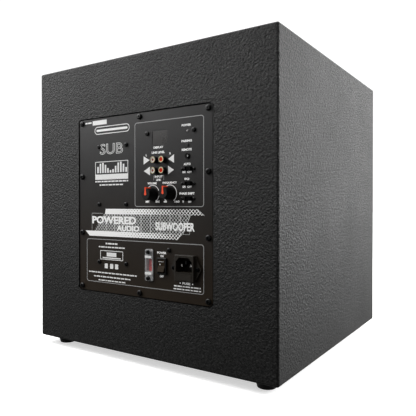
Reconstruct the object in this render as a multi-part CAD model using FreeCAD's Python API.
import FreeCAD, Part
import math
import os

from FreeCAD import Vector

# Powered subwoofer: a closed cube cabinet with a 12-inch woofer in front and a plate amplifier behind.
# Millimetres. +Z up, -Y is the front (woofer), +Y the back (amplifier).
# The origin is on the floor, under the middle of the whole object's box.

# ---- cabinet ----
WIDTH = 400.0
DEPTH = 386.0
HEIGHT = 400.0
FOOT_HEIGHT = 12.0
FOOT_INSET = 28.0
BOARD = 18.0
BAFFLE = 24.0
EDGE_RADIUS = 3.0
BRACE_BEHIND_BAFFLE = 150.0
BRACE_RIM = 40.0

# ---- woofer, radii and heights above the baffle's face ----
CUTOUT_RADIUS = 141.5
FRAME_RADIUS = 156.0
BOLT_CIRCLE = 150.0
BOLT_COUNT = 8
FRAME_SEAT = 1.5
FRAME_FACE = 6.5
ROLL_MIDDLE = 127.5
ROLL_RADIUS = 10.0
ROLL_WALL = 1.0
TRIM_THICKNESS = 3.0
FORMER_RADIUS = 31.6

# ---- amplifier plate, offsets from its centre as seen from behind ----
PLATE_WIDTH = 228.0
PLATE_HEIGHT = 241.5
PLATE_THICKNESS = 3.0
PLATE_CORNER = 5.0
PLATE_BELOW_BACK = 1.0
GASKET = 1.0
REBATE_GAP = 1.5
OPENING_WIDTH = 206.0
OPENING_HEIGHT = 220.0
PLATE_SCREWS = [(x, y) for x in (-108.4, 108.4) for y in (-115.2, -39.2, 40.2, 116.0)]
PLATE_SCREWS += [(0.0, -115.6), (0.0, 116.0)]
SINK_SCREWS = [(x, y) for x in (-74.6, -24.1) for y in (-79.2, 0.9, 81.0)]
BOARD_SCREWS = [(13.2, 92.5), (87.3, 91.7), (48.7, -56.9)]

DISPLAY = (33.6, 86.0)
DISPLAY_SIZE = (24.7, 19.0)
JACKS = (33.3, 51.0)
JACK_PITCH = 13.7
BOSS_RADIUS = 4.7
BOSS_TOP = 0.8
SHELL_RADIUS = 4.15
SHELL_HEIGHT = 6.0
INSERT_RADIUS = 3.6
DIALS = {"volume": (21.9, 13.8), "frequency": (49.9, 15.0)}
KNOB_RADIUS = 8.3
KNOB_FACE_RADIUS = 7.2
KNOB_HEIGHT = 14.5
KNOB_FIN_REACH = 8.7
KNOB_FIN_WIDTH = 1.8
COLUMN_X = 77.5
LED_Y = 90.9
BUTTON_Y = 73.9
REMOTE_Y = 60.1
SWITCH_X = 78.3
SWITCHES = {"auto": 44.3, "eq": 26.2, "phase": 7.8}
SLOT_SIZE = (11.0, 6.0)
LEVER_TRAVEL = 5.2
LEVER_SIZE = (5.2, 5.4)
SELECTOR = (16.8, -77.6)
SELECTOR_SIZE = (12.7, 41.0)
SELECTOR_CORNER = 2.2
SELECTOR_SCREW = 17.0
SELECTOR_TRAVEL = 3.9
ROCKER = (38.1, -77.7)
ROCKER_TILT = 10.0
INLET = (76.2, -77.8)
INLET_SCREW = 18.0
DRAWER_Y = -10.4
CONTROL_BOARD_FRONT = -15.4
CONTROL_BOARD_THICKNESS = 1.6
MAIN_BOARD_BACK = -35.6

# ---- places worked out from the above ----
FRONT_STANDS_OUT = FRAME_FACE + ROLL_RADIUS
BACK_STANDS_OUT = KNOB_HEIGHT - PLATE_BELOW_BACK
BACK_Y = (DEPTH + FRONT_STANDS_OUT - BACK_STANDS_OUT) / 2
FRONT_Y = BACK_Y - DEPTH
BOTTOM_Z = FOOT_HEIGHT
TOP_Z = BOTTOM_Z + HEIGHT
MIDDLE_Z = BOTTOM_Z + HEIGHT / 2
INNER_X = WIDTH / 2 - BOARD
INNER_BOTTOM = BOTTOM_Z + BOARD
INNER_TOP = TOP_Z - BOARD
PLATE_Y = BACK_Y - PLATE_BELOW_BACK
REBATE_FLOOR = -PLATE_THICKNESS - GASKET

nodes = {}


# ---- helpers ----
def box(x0, x1, y0, y1, z0, z1):
    return Part.makeBox(x1 - x0, y1 - y0, z1 - z0, Vector(x0, y0, z0))


def block(x, y, width, height, z0, z1):
    """A plain block centred on (x, y)."""
    return box(x - width / 2, x + width / 2, y - height / 2, y + height / 2, z0, z1)


def rod(x, y, radius, z0, z1):
    return Part.makeCylinder(radius, z1 - z0, Vector(x, y, z0))


def ring(x, y, outer, inner, z0, z1):
    return rod(x, y, outer, z0, z1).cut(rod(x, y, inner, z0 - 1, z1 + 1))


def closed_face(point, start, steps):
    """A face from a start and steps: a corner (u, v), or an arc ((u, v) midway, (u, v) at its end)."""
    edges = []
    here = start
    for step in list(steps) + [start]:
        is_arc = isinstance(step[0], tuple)
        there = step[1] if is_arc else step
        if there == here:
            continue
        if is_arc:
            edges.append(Part.Arc(point(*here), point(*step[0]), point(*there)).toShape())
        else:
            edges.append(Part.LineSegment(point(*here), point(*there)).toShape())
        here = there
    return Part.Face(Part.Wire(edges))


def turned(start, *steps):
    """A solid of revolution about Z from a (radius, z) section."""
    face = closed_face(lambda r, z: Vector(r, 0, z), start, steps)
    return face.revolve(Vector(0, 0, 0), Vector(0, 0, 1), 360)


def prism(z0, z1, start, *steps):
    """A section in X and Y, extruded from z0 to z1."""
    face = closed_face(lambda x, y: Vector(x, y, z0), start, steps)
    return face.extrude(Vector(0, 0, z1 - z0))


def slab(x, y, width, height, corner, z0, z1):
    """A rounded rectangle centred on (x, y), from z0 to z1."""
    right, top = x + width / 2, y + height / 2
    left, low = x - width / 2, y - height / 2
    bend = corner * (1 - math.sqrt(0.5))
    return prism(
        z0,
        z1,
        (left + corner, low),
        (right - corner, low),
        ((right - bend, low + bend), (right, low + corner)),
        (right, top - corner),
        ((right - bend, top - bend), (right - corner, top)),
        (left + corner, top),
        ((left + bend, top - bend), (left, top - corner)),
        (left, low + corner),
        ((left + bend, low + bend), (left + corner, low)),
    )


def rounded(shape, radius, keep):
    """Fillets the edges for which keep(edge's bounding box) is true."""
    return shape.makeFillet(radius, [e for e in shape.Edges if keep(e.BoundBox)])


def upper_rim(z):
    return lambda b: abs(b.ZMin - z) < 1e-6 and abs(b.ZMax - z) < 1e-6


def moved(shape, x, y, z=0.0):
    return shape.translated(Vector(x, y, z))


def around(shape, count, first=0.0):
    """count copies of a shape, turned evenly about Z."""
    copies = []
    for i in range(count):
        copies.append(shape.rotated(Vector(0, 0, 0), Vector(0, 0, 1), first + 360.0 * i / count))
    return copies


def group(shapes):
    return Part.makeCompound(shapes)


def placed(shape, x_to, y_to, z_to, origin):
    turn = FreeCAD.Rotation(x_to, y_to, z_to, "ZXY")
    return shape.transformed(FreeCAD.Placement(origin, turn).toMatrix(), True)


def on_back(shape):
    """From plate coordinates (right, up, out, as seen from behind) to the object's."""
    return placed(shape, Vector(-1, 0, 0), Vector(0, 0, 1), Vector(0, 1, 0), Vector(0, PLATE_Y, MIDDLE_Z))


def on_front(shape):
    """From baffle coordinates (right, up, out, as seen from the front) to the object's."""
    return placed(shape, Vector(1, 0, 0), Vector(0, 0, 1), Vector(0, -1, 0), Vector(0, FRONT_Y, MIDDLE_Z))


def pan_screw(head_radius, head_height, shank_radius, length):
    """A pan-head screw with a cross recess, its head seated on z = 0 and pointing up."""
    screw = turned(
        (0, -length),
        (shank_radius * 0.4, -length),
        (shank_radius, -length + 2 * shank_radius),
        (shank_radius, 0),
        (head_radius, 0),
        (head_radius, head_height * 0.35),
        ((head_radius * 0.86, head_height * 0.8), (head_radius * 0.5, head_height)),
        (0, head_height),
    )
    arm = block(0, 0, head_radius * 1.15, head_radius * 0.26, head_height * 0.35, head_height * 2)
    cross = arm.fuse(arm.rotated(Vector(0, 0, 0), Vector(0, 0, 1), 90))
    return screw.cut(cross)


def copies_at(screw, places, seat):
    return group([moved(screw, x, y, seat) for x, y in places])


def holes_at(radius, places, z0, z1):
    return group([rod(x, y, radius, z0, z1) for x, y in places])


# ---- cabinet ----
def cabinet_lid(z0, z1, outer_z):
    """The top or bottom board, which covers the side boards' ends."""
    board = box(-WIDTH / 2, WIDTH / 2, FRONT_Y, BACK_Y, z0, z1)
    upright = rounded(board, EDGE_RADIUS, lambda b: b.ZLength > BOARD / 2)
    return rounded(upright, EDGE_RADIUS, upper_rim(outer_z))


def foot_places():
    x = WIDTH / 2 - FOOT_INSET
    front, back = FRONT_Y + FOOT_INSET, BACK_Y - FOOT_INSET
    return [(-x, front), (x, front), (-x, back), (x, back)]


def side_board(side):
    """The board on the side of x = side, with its two outer upright edges rounded."""
    outer, inner = side * WIDTH / 2, side * INNER_X
    board = box(min(outer, inner), max(outer, inner), FRONT_Y, BACK_Y, INNER_BOTTOM, INNER_TOP)

    def outer_upright(b):
        return abs(b.XMin - outer) < 0.01 and b.XLength < 0.01 and b.YLength < 0.01

    return rounded(board, EDGE_RADIUS, outer_upright)


def front_baffle():
    board = box(-INNER_X, INNER_X, FRONT_Y, FRONT_Y + BAFFLE, INNER_BOTTOM, INNER_TOP)
    opening = rod(0, 0, CUTOUT_RADIUS, -BAFFLE - 1, 1)
    pilots = group(around(rod(BOLT_CIRCLE, 0, 2.0, -20, 1), BOLT_COUNT, 22.5))
    return board.cut(on_front(opening)).cut(on_front(pilots))


def back_panel():
    board = box(-INNER_X, INNER_X, BACK_Y - BOARD, BACK_Y, INNER_BOTTOM, INNER_TOP)
    wide, high = PLATE_WIDTH + 2 * REBATE_GAP, PLATE_HEIGHT + 2 * REBATE_GAP
    rebate = slab(0, 0, wide, high, PLATE_CORNER + REBATE_GAP, REBATE_FLOOR, PLATE_BELOW_BACK + 1)
    opening = slab(0, 0, OPENING_WIDTH, OPENING_HEIGHT, 12, -BOARD - 5, 2)
    pilots = holes_at(1.7, PLATE_SCREWS, -15, 0)
    return board.cut(on_back(rebate)).cut(on_back(opening)).cut(on_back(pilots))


def internal_brace():
    front = FRONT_Y + BAFFLE + BRACE_BEHIND_BAFFLE
    board = box(-INNER_X, INNER_X, front, front + BOARD, INNER_BOTTOM, INNER_TOP)
    clear = 2 * (INNER_X - BRACE_RIM)
    depth_in = front - FRONT_Y
    window = slab(0, 0, clear, clear, 40, -depth_in - BOARD - 1, -depth_in + 1)
    return board.cut(on_front(window))


def rubber_foot():
    """A tapered foot with a counterbored screw hole, standing on z = 0."""
    return turned(
        (2.3, FOOT_HEIGHT),
        (14.0, FOOT_HEIGHT),
        (14.0, FOOT_HEIGHT - 2),
        (11.6, 0.8),
        ((11.2, 0.2), (10.6, 0)),
        (6.0, 0),
        (5.6, 6.0),
        (2.3, 6.0),
    )


def build_cabinet():
    foot_holes = holes_at(1.95, foot_places(), BOTTOM_Z - 1, BOTTOM_Z + 14)
    nodes["cabinet_top"] = cabinet_lid(INNER_TOP, TOP_Z, TOP_Z)
    nodes["cabinet_bottom"] = cabinet_lid(BOTTOM_Z, INNER_BOTTOM, BOTTOM_Z).cut(foot_holes)
    nodes["cabinet_left_side"] = side_board(-1)
    nodes["cabinet_right_side"] = side_board(1)
    nodes["front_baffle"] = front_baffle()
    nodes["back_panel"] = back_panel()
    nodes["internal_brace"] = internal_brace()
    nodes["rubber_feet"] = copies_at(rubber_foot(), foot_places(), 0)
    foot_screw = pan_screw(4.4, 2.8, 1.9, 18).rotated(Vector(0, 0, 0), Vector(1, 0, 0), 180)
    nodes["foot_screws"] = copies_at(foot_screw, foot_places(), 6.0)


# ---- woofer, built with its axis on Z and the baffle's face at z = 0 ----
def woofer_basket():
    """A cast frame: flange, six-window cone wall, spider shelf, vented neck and base."""
    frame = turned(
        (FRAME_RADIUS, FRAME_FACE),
        (FRAME_RADIUS, FRAME_SEAT),
        (141.2, FRAME_SEAT),
        (141.2, -14),
        (111, -64),
        (89, -64),
        (89, -92),
        (37, -92),
        (37, -88),
        (85.5, -88),
        (85.5, -61),
        (107.5, -61),
        (137, -12.5),
        (137, FRAME_FACE),
    )
    half = math.radians(21)
    far = 170.0
    window = prism(-57, -19, (0, 0), (far * math.cos(half), -far * math.sin(half)),
                   (far * math.cos(half), far * math.sin(half)))
    vent = Part.makeCylinder(6, 20, Vector(78, 0, -76), Vector(1, 0, 0))
    bolt = rod(BOLT_CIRCLE, 0, 2.6, 0, FRAME_FACE + 1)
    cuts = around(window, 6, 0) + around(vent, 12, 15) + around(bolt, BOLT_COUNT, 22.5)
    return frame.cut(group(cuts))


def flange_ring(outer, inner, z0, z1):
    """A ring over the flange with the bolts' clearance holes."""
    bolts = around(rod(BOLT_CIRCLE, 0, 2.6, z0 - 1, z1 + 1), BOLT_COUNT, 22.5)
    return ring(0, 0, outer, inner, z0, z1).cut(group(bolts))


def woofer_surround():
    """A half roll between the cone's rim and the frame, with flat lips on both."""
    outer, inner = ROLL_RADIUS, ROLL_RADIUS - ROLL_WALL
    lip_top = FRAME_FACE + ROLL_WALL
    outer_at_lip = math.sqrt(outer**2 - ROLL_WALL**2)
    return turned(
        (111, FRAME_FACE),
        (ROLL_MIDDLE - inner, FRAME_FACE),
        ((ROLL_MIDDLE, FRAME_FACE + inner), (ROLL_MIDDLE + inner, FRAME_FACE)),
        (143.9, FRAME_FACE),
        (143.9, lip_top),
        (ROLL_MIDDLE + outer_at_lip, lip_top),
        ((ROLL_MIDDLE, FRAME_FACE + outer), (ROLL_MIDDLE - outer_at_lip, lip_top)),
        (111, lip_top),
    )


def woofer_cone():
    """A straight-sided paper cone, from its rim under the surround to its neck on the coil former."""
    return turned(
        (118, FRAME_FACE),
        (111.6, FRAME_FACE),
        (FORMER_RADIUS, -44.5),
        (FORMER_RADIUS, -46.3),
        (112.4, 5.2),
        (118, 5.2),
    )


def dust_cap(cone):
    """A thin domed cap glued to the cone."""
    top, radius, wall, rim = -19.0, 70.0, 1.1, 45.3
    shell = Part.makeSphere(radius, Vector(0, 0, top - radius))
    shell = shell.cut(Part.makeSphere(radius - wall, Vector(0, 0, top - radius)))
    return shell.common(rod(0, 0, rim, top - 25, top + 1)).cut(cone)


def woofer_spider():
    """A corrugated ring from the coil former to the frame's shelf."""
    pitch = 7.8
    wall = 0.7
    start = 37.0
    waves = 6
    level = -60.5
    steps = [(FORMER_RADIUS, level), (start, level)]
    for i in range(waves):
        r = start + pitch * i
        rise = 2.4 if i % 2 == 0 else -2.4
        steps.append(((r + pitch / 2, level + rise), (r + pitch, level)))
    end = start + pitch * waves
    steps += [(106.5, level), (106.5, level - wall + 0.2), (end, level - wall + 0.2)]
    for i in reversed(range(waves)):
        r = start + pitch * i
        rise = 2.4 if i % 2 == 0 else -2.4
        steps.append(((r + pitch / 2, level - wall + rise), (r, level - wall)))
    steps.append((FORMER_RADIUS, level - wall))
    return turned(*steps)


def voice_coil():
    former = ring(0, 0, FORMER_RADIUS, FORMER_RADIUS - 0.6, -116, -42)
    winding = ring(0, 0, FORMER_RADIUS + 1.6, FORMER_RADIUS, -114, -80)
    return group([former, winding])


def woofer_yoke():
    """The back plate and the vented pole piece, in one forging."""
    return turned((8, -142), (74, -142), (74, -132), (30.2, -132), (30.2, -93), (29.2, -92), (8, -92))


def woofer_terminals():
    """A terminal strip on the frame's neck, with two push posts."""
    strip = block(93, 0, 12, 30, -88, -74).cut(rod(0, 0, 89.0, -100, -60))
    posts = [Part.makeCylinder(2.5, 9, Vector(99, y, -81), Vector(1, 0, 0)) for y in (-8, 8)]
    return strip.fuse(posts)


def build_woofer():
    cone = woofer_cone()
    trim_top = FRAME_FACE + TRIM_THICKNESS
    bolt = moved(pan_screw(4.6, 3.0, 1.9, 27), BOLT_CIRCLE, 0, trim_top)
    pieces = {
        "woofer_basket": woofer_basket(),
        "woofer_gasket": flange_ring(155, CUTOUT_RADIUS, 0, FRAME_SEAT),
        "woofer_trim_ring": flange_ring(FRAME_RADIUS, 144.2, FRAME_FACE, trim_top),
        "woofer_screws": group(around(bolt, BOLT_COUNT, 22.5)),
        "woofer_surround": woofer_surround(),
        "woofer_cone": cone,
        "dust_cap": dust_cap(cone),
        "woofer_spider": woofer_spider(),
        "voice_coil": voice_coil(),
        "woofer_top_plate": ring(0, 0, 72, 34.4, -102, -92),
        "woofer_magnet": ring(0, 0, 80, 42, -132, -102),
        "woofer_yoke": woofer_yoke(),
        "woofer_terminals": woofer_terminals(),
    }
    for name, shape in pieces.items():
        nodes[name] = on_front(shape)


# ---- amplifier, built with the plate's outer face at z = 0 ----
def jack_places(columns=(-1, 1)):
    half = JACK_PITCH / 2
    return [(JACKS[0] + c * half, JACKS[1] + r * half) for c in columns for r in (1, -1)]


def switch_screw_places():
    return [(SWITCH_X + side * 9.0, y) for y in SWITCHES.values() for side in (-1, 1)]


def selector_screw_places():
    return [(SELECTOR[0], SELECTOR[1] + side * SELECTOR_SCREW) for side in (-1, 1)]


def inlet_screw_places():
    return [(INLET[0] + side * INLET_SCREW, INLET[1]) for side in (-1, 1)]


def amp_plate():
    """The steel panel with a cut-out for everything that comes through it."""
    z0, z1 = -PLATE_THICKNESS - 1, 1
    plate = slab(0, 0, PLATE_WIDTH, PLATE_HEIGHT, PLATE_CORNER, -PLATE_THICKNESS, 0)
    cuts = [
        holes_at(2.0, PLATE_SCREWS, z0, z1),
        holes_at(1.6, SINK_SCREWS + BOARD_SCREWS, z0, z1),
        slab(*DISPLAY, *DISPLAY_SIZE, 0.8, z0, z1),
        holes_at(BOSS_RADIUS + 0.1, jack_places(), z0, z1),
        holes_at(3.6, DIALS.values(), z0, z1),
        rod(COLUMN_X, LED_Y, 1.6, z0, z1),
        rod(COLUMN_X, BUTTON_Y, 2.5, z0, z1),
        rod(COLUMN_X, REMOTE_Y, 2.7, z0, z1),
        holes_at(1.2, switch_screw_places(), z0, z1),
        slab(*SELECTOR, 12.0, 28.4, 0.6, z0, z1),
        holes_at(1.6, selector_screw_places(), z0, z1),
        slab(*ROCKER, 13.0, 19.0, 0.3, z0, z1),
        slab(*INLET, 27.6, 31.2, 0.5, z0, z1),
        holes_at(1.7, inlet_screw_places(), z0, z1),
    ]
    cuts += [slab(SWITCH_X, y, *SLOT_SIZE, 0.6, z0, z1) for y in SWITCHES.values()]
    return plate.cut(group(cuts))


def amp_gasket():
    low, high = REBATE_FLOOR, -PLATE_THICKNESS
    sheet = slab(0, 0, PLATE_WIDTH, PLATE_HEIGHT, PLATE_CORNER, low, high)
    opening = slab(0, 0, OPENING_WIDTH, OPENING_HEIGHT, 12, low - 1, high + 1)
    return sheet.cut(opening).cut(holes_at(2.2, PLATE_SCREWS, low - 1, high + 1))


def heat_sink():
    """A finned extrusion behind the plate's plain left half, with two ribs for the main board."""
    left, right, half_height = -86.0, -12.0, 98.0
    fins = [box(x, x + 2, -half_height, half_height, -31, -9) for x in range(-76, -20, 7)]
    ribs = [box(x, x + 5, -half_height, half_height, -34, -9) for x in (left, right - 5)]
    base = box(left, right, -half_height, half_height, -9, -3)
    return base.fuse(fins + ribs).cut(holes_at(1.55, SINK_SCREWS, -8, -2))


def control_board():
    """The board behind the controls, with its three spacers and the push button's switch."""
    back = CONTROL_BOARD_FRONT - CONTROL_BOARD_THICKNESS
    board = box(5, 98, -61, 104, back, CONTROL_BOARD_FRONT)
    spacers = [ring(x, y, 3.2, 1.55, CONTROL_BOARD_FRONT, -3) for x, y in BOARD_SCREWS]
    tact = block(COLUMN_X, BUTTON_Y, 6, 6, CONTROL_BOARD_FRONT, -10.2)
    return group([board, tact] + spacers)


def power_transformer():
    """Two ferrite halves round a wound bobbin, on the main board."""
    core = block(-49, -50, 42, 40, -64, MAIN_BOARD_BACK).cut(block(-49, -50, 26, 41, -59, -40.6))
    bobbin = block(-49, -50, 25.6, 34, -58.8, -40.8)
    return group([core, bobbin])


def filter_capacitors():
    places = [(x, y) for x in (-66, -32) for y in (12, 52)]
    can = rounded(rod(0, 0, 12.5, -68, MAIN_BOARD_BACK), 1.2, lambda b: b.ZMax < -60)
    return copies_at(can, places, 0)


def jack_block():
    """The black housing behind the plate with four round bosses that pass through it."""
    body = block(*JACKS, 30, 30, CONTROL_BOARD_FRONT, -3)
    bosses = [rod(x, y, BOSS_RADIUS, -3, BOSS_TOP) for x, y in jack_places()]
    bores = holes_at(INSERT_RADIUS, jack_places(), -8, 2)
    return body.fuse(bosses).cut(bores)


def jack_shells():
    """Four metal shells round their inserts, seated on the bosses."""
    shell = turned(
        (INSERT_RADIUS, BOSS_TOP),
        (SHELL_RADIUS, BOSS_TOP),
        (SHELL_RADIUS, SHELL_HEIGHT - 0.3),
        (SHELL_RADIUS - 0.3, SHELL_HEIGHT),
        (INSERT_RADIUS, SHELL_HEIGHT),
    )
    return copies_at(shell, jack_places(), 0)


def jack_inserts(column):
    """Coloured insulators from the housing up into two shells, bored for the plug's pin."""
    places = jack_places((column,))
    return group([ring(x, y, INSERT_RADIUS, 1.6, -8, SHELL_HEIGHT - 0.6) for x, y in places])


def potentiometers():
    """Both bodies with their bushes and hexagonal nuts."""
    body = block(0, 0, 17, 18, CONTROL_BOARD_FRONT, -3)
    bush = rod(0, 0, 3.5, -3, 6)
    hollow_body = body.fuse(bush).cut(rod(0, 0, 3.05, -9, 7))
    angles = [math.radians(a) for a in range(0, 360, 60)]
    corners = [(5.6 * math.cos(a), 5.6 * math.sin(a)) for a in angles]
    nut = prism(0, 2.2, *corners).cut(rod(0, 0, 3.5, -1, 3))
    return copies_at(group([hollow_body, nut]), DIALS.values(), 0)


def dial_shaft(x, y):
    """A shaft with a flat near its end."""
    return rod(x, y, 3.0, -8, 13).cut(box(x - 4, x + 4, y + 2, y + 4, 7, 14))


def dial_knob(x, y):
    """A fluted knob that narrows to its face, hollow over the nut, with a fin that points outwards."""
    narrowing = (KNOB_RADIUS - KNOB_FACE_RADIUS) / (KNOB_HEIGHT - 2.6)
    body = turned(
        (0, 0.6),
        (KNOB_RADIUS, 0.6),
        (KNOB_RADIUS, 1.8),
        (KNOB_FACE_RADIUS, KNOB_HEIGHT - 0.8),
        ((KNOB_FACE_RADIUS - 0.25, KNOB_HEIGHT - 0.25), (KNOB_FACE_RADIUS - 0.8, KNOB_HEIGHT)),
        (0, KNOB_HEIGHT),
    )
    flute = Part.makeCylinder(0.65, 9.5, Vector(KNOB_RADIUS + 0.1, 0, 2.6), Vector(-narrowing, 0, 1))
    fluted = body.cut(group(around(flute, 20, 9)))
    half = KNOB_FIN_WIDTH / 2
    fin = box(-half, half, 0, KNOB_FIN_REACH, 5.6, KNOB_HEIGHT)
    hollow = rod(0, 0, 6.2, 0, 3.2).fuse(rod(0, 0, 4.2, 3.2, 6.6))
    return moved(fluted.fuse(fin).cut(hollow), x, y).cut(dial_shaft(x, y))


def power_led():
    """A 3 mm lamp with a domed lens and a rim behind the plate."""
    dome = Part.makeSphere(1.5, Vector(0, 0, -0.2))
    lens = rod(0, 0, 1.5, -9, -0.2).fuse([rod(0, 0, 1.9, -9, -3.2), dome])
    return moved(lens.removeSplitter(), COLUMN_X, LED_Y)


def pairing_button():
    """A round cap with a collar behind the plate that stops it falling out."""
    cap = turned((0, -9), (1.5, -9), (1.5, -4.2), (3.2, -4.2), (3.2, -3.3), (2.2, -3.3), (2.2, 0.6),
                 ((2.08, 0.88), (1.8, 1.0)), (0, 1.0))
    return moved(cap, COLUMN_X, BUTTON_Y)


def remote_jack():
    """A 3.5 mm socket and its ring nut."""
    outside = block(0, 0, 9, 10, CONTROL_BOARD_FRONT, -3).fuse(rod(0, 0, 2.6, -3, 1.8))
    body = outside.cut(rod(0, 0, 1.8, -13, 3))
    nut = ring(0, 0, 3.5, 2.6, 0, 1.4)
    notches = [block(side * 3.3, 0, 0.9, 0.9, 0.7, 3) for side in (-1, 1)]
    return moved(group([body, nut.cut(group(notches))]), COLUMN_X, REMOTE_Y)


def slide_switch_body():
    """A switch behind the plate: a metal frame with screw ears, and a pocket for the lever."""
    body = block(0, 0, 13, 8, CONTROL_BOARD_FRONT, -3.6).fuse(block(0, 0, 24, 8, -3.6, -3))
    pocket = slab(0, 0, *SLOT_SIZE, 0.6, -9, -2)
    return body.cut(pocket).cut(holes_at(1.0, [(-9, 0), (9, 0)], -16, -2))


def slide_lever():
    """A small ribbed lever, resting at the right-hand end of its slot."""
    x = LEVER_TRAVEL / 2
    lever = block(x, 0, *LEVER_SIZE, -8.5, 3.4)
    grooves = [block(x + step, 0, 0.6, 6, 2.8, 4) for step in (-1.4, 0, 1.4)]
    return lever.cut(group(grooves))


def voltage_selector_body():
    """A flanged housing with a window, and a longer pocket under it for the slider."""
    flange = slab(0, 0, *SELECTOR_SIZE, SELECTOR_CORNER, 0, 1.4)
    body = flange.fuse(block(0, 0, 11.6, 28, -16, 0))
    window = slab(0, 0, 9.4, 16, 0.5, -3, 2)
    pocket = block(0, 0, 8.0, 24, -10, -1.8)
    screw_holes = holes_at(1.6, [(0, -SELECTOR_SCREW), (0, SELECTOR_SCREW)], -1, 2)
    return body.cut(group([window, pocket])).cut(screw_holes)


def voltage_slider():
    """The red slider, at the lower end of its pocket, with a screwdriver slot."""
    slider = box(-3.6, 3.6, -11.7, 7.9, -9.7, -2.4)
    return slider.cut(block(0, -1.6, 5.2, 1.2, -3.2, -2))


def voltage_cover():
    cover = rounded(slab(0, 0, *SELECTOR_SIZE, SELECTOR_CORNER, 1.4, 3.2), 0.5, upper_rim(3.2))
    return cover.cut(holes_at(1.6, [(0, -SELECTOR_SCREW), (0, SELECTOR_SCREW)], 1, 4))


def rocker_bezel():
    """A snap-in frame with a socket for the rocker and its two pivot holes."""
    frame = rounded(slab(0, 0, 15, 21, 1.0, 0, 2.8), 0.6, upper_rim(2.8))
    body = frame.fuse(block(0, 0, 12.8, 18.8, -18, 0))
    socket = block(0, 0, 10.6, 17.4, -11, 4)
    pivots = Part.makeCylinder(1.25, 12.0, Vector(-6.0, 0, 0.2), Vector(1, 0, 0))
    return body.cut(socket).cut(pivots)


def rocker_cap():
    """A shallow V-shaped cap on two pivots, with its upper half pressed in."""
    pivot_z, reach = 0.2, 8.35
    low, high = math.radians(-35), math.radians(27)
    end_low = (reach * math.cos(low), pivot_z + reach * math.sin(low))
    end_mid = (reach, pivot_z)
    end_high = (reach * math.cos(high), pivot_z + reach * math.sin(high))
    steps = [(0, 2.6), (-end_high[0], end_high[1]), ((-end_mid[0], end_mid[1]), (-end_low[0], end_low[1])),
             end_low, (end_mid, end_high)]
    section = closed_face(lambda y, z: Vector(-5.1, y, z), steps[0], steps[1:])
    cap = section.extrude(Vector(10.2, 0, 0))
    pivots = Part.makeCylinder(1.2, 11.8, Vector(-5.9, 0, pivot_z), Vector(1, 0, 0))
    whole = cap.fuse(pivots)
    return whole.rotated(Vector(0, 0, pivot_z), Vector(1, 0, 0), -ROCKER_TILT)


def inlet_mouth(z0, z1):
    """The mains socket's outline: a rectangle with its two upper corners cut off."""
    half, low, high, cut = 12.25, -4.6, 13.6, 5.2
    return prism(z0, z1, (-half, low), (half, low), (half, high - cut), (half - cut, high), (-half + cut, high),
                 (-half, high - cut))


def inlet_housing():
    """A flange with pointed ears, a raised block with the mains socket, and the fuse drawer's pocket."""
    ears = prism(0, 2.6, (-14.5, -16), (14.5, -16), (21.2, -3.2), ((22.6, 0), (21.2, 3.2)), (14.5, 16.6),
                 (-14.5, 16.6), (-21.2, 3.2), ((-22.6, 0), (-21.2, -3.2)))
    raised = rounded(slab(0, 0.3, 29, 32.6, 1.2, 2.6, 6.6), 0.7, upper_rim(6.6))
    body = ears.fuse([raised, block(0, 0, 27.2, 30.8, -27, 0)])
    drawer_pocket = block(0, DRAWER_Y, 22.6, 9.6, -20.4, 8)
    screw_holes = holes_at(1.7, [(-INLET_SCREW, 0), (INLET_SCREW, 0)], -1, 4)
    return body.cut(group([inlet_mouth(-10, 8), drawer_pocket])).cut(screw_holes)


def inlet_pins():
    """Three blades with solder tabs behind, the earth blade above the other two."""
    pins = []
    for x, y, top in ((-7, 3.2, 1.0), (0, 7.2, 2.0), (7, 3.2, 1.0)):
        blade = block(x, y, 2, 4, -10, top)
        tab = block(x, y, 0.8, 4, -35, -27)
        pins += [blade, tab]
    return group(pins)


def fuse_drawer():
    """A drawer with a cradle across it for the fuse and a finger notch in its face."""
    drawer = block(0, DRAWER_Y, 22.0, 9.0, -20, 6.9)
    cradle = block(0, DRAWER_Y + 1.4, 20.6, 6.4, -14.6, -8.6)
    notch = block(0, DRAWER_Y - 4.6, 8.0, 1.6, 5.4, 8)
    return drawer.cut(cradle).cut(notch)


def fuse():
    """A 5 x 20 mm glass fuse lying across the drawer."""
    def stretch(x0, x1, radius):
        return Part.makeCylinder(radius, x1 - x0, Vector(x0, DRAWER_Y + 1.0, -11.6), Vector(1, 0, 0))

    return group([stretch(-5, 5, 2.35), stretch(-10, -5, 2.6), stretch(5, 10, 2.6)])


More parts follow.
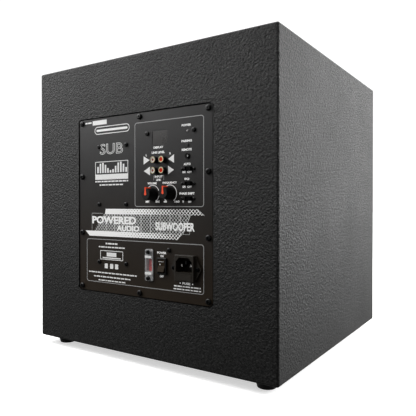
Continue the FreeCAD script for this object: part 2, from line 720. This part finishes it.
def build_plate():
    main_screw = pan_screw(3.9, 2.6, 1.65, 12.5)
    chassis_screw = pan_screw(3.0, 2.1, 1.5, 7.5)
    small_screw = pan_screw(1.9, 1.3, 0.95, 6)
    cover_screw = pan_screw(2.9, 1.9, 1.5, 8)
    inlet_screw = pan_screw(2.8, 1.8, 1.5, 8)
    selector_screws = copies_at(cover_screw, selector_screw_places(), 3.2)
    pieces = {
        "amp_plate": amp_plate(),
        "amp_gasket": amp_gasket(),
        "plate_screws": copies_at(main_screw, PLATE_SCREWS, 0),
        "chassis_screws": copies_at(chassis_screw, SINK_SCREWS + BOARD_SCREWS, 0),
        "small_screws": group([copies_at(small_screw, switch_screw_places(), 0), selector_screws]),
        "inlet_screws": copies_at(inlet_screw, inlet_screw_places(), 2.6),
        "heat_sink": heat_sink(),
        "main_circuit_board": box(-90, -8, -100, 100, MAIN_BOARD_BACK, -34),
        "power_transformer": power_transformer(),
        "filter_capacitors": filter_capacitors(),
        "control_circuit_board": control_board(),
    }
    for name, shape in pieces.items():
        nodes[name] = on_back(shape)


def build_jacks_and_dials():
    pieces = {
        "jack_block": jack_block(),
        "jack_shells": jack_shells(),
        "jack_inserts_white": jack_inserts(-1),
        "jack_inserts_red": jack_inserts(1),
        "potentiometers": potentiometers(),
        "display_window": slab(*DISPLAY, DISPLAY_SIZE[0] - 0.2, DISPLAY_SIZE[1] - 0.2, 0.7, -2.6, -0.4),
        "display_module": block(*DISPLAY, 24, 18, CONTROL_BOARD_FRONT, -3),
        "power_led": power_led(),
        "pairing_button": pairing_button(),
        "remote_jack": remote_jack(),
    }
    for name, place in DIALS.items():
        pieces[name + "_shaft"] = dial_shaft(*place)
        pieces[name + "_knob"] = dial_knob(*place)
    for name, shape in pieces.items():
        nodes[name] = on_back(shape)


def build_switches_and_mains():
    bodies = [moved(slide_switch_body(), SWITCH_X, y) for y in SWITCHES.values()]
    nodes["slide_switch_bodies"] = on_back(group(bodies))
    for name, y in SWITCHES.items():
        nodes[name + "_switch_lever"] = on_back(moved(slide_lever(), SWITCH_X, y))
    at_place = {
        "voltage_selector_body": (voltage_selector_body(), SELECTOR),
        "voltage_slider": (voltage_slider(), SELECTOR),
        "voltage_cover": (voltage_cover(), SELECTOR),
        "rocker_bezel": (rocker_bezel(), ROCKER),
        "power_rocker": (rocker_cap(), ROCKER),
        "inlet_housing": (inlet_housing(), INLET),
        "inlet_pins": (inlet_pins(), INLET),
        "fuse_drawer": (fuse_drawer(), INLET),
        "fuse": (fuse(), INLET),
    }
    for name, (shape, place) in at_place.items():
        nodes[name] = on_back(moved(shape, *place))


build_cabinet()
build_woofer()
build_plate()
build_jacks_and_dials()
build_switches_and_mains()
os.makedirs("parts", exist_ok=True)
for name, shape in nodes.items():
    shape.exportStep(f"parts/{name}.step")
print(len(nodes), "nodes; back face at y =", BACK_Y, "plate face at y =", PLATE_Y)
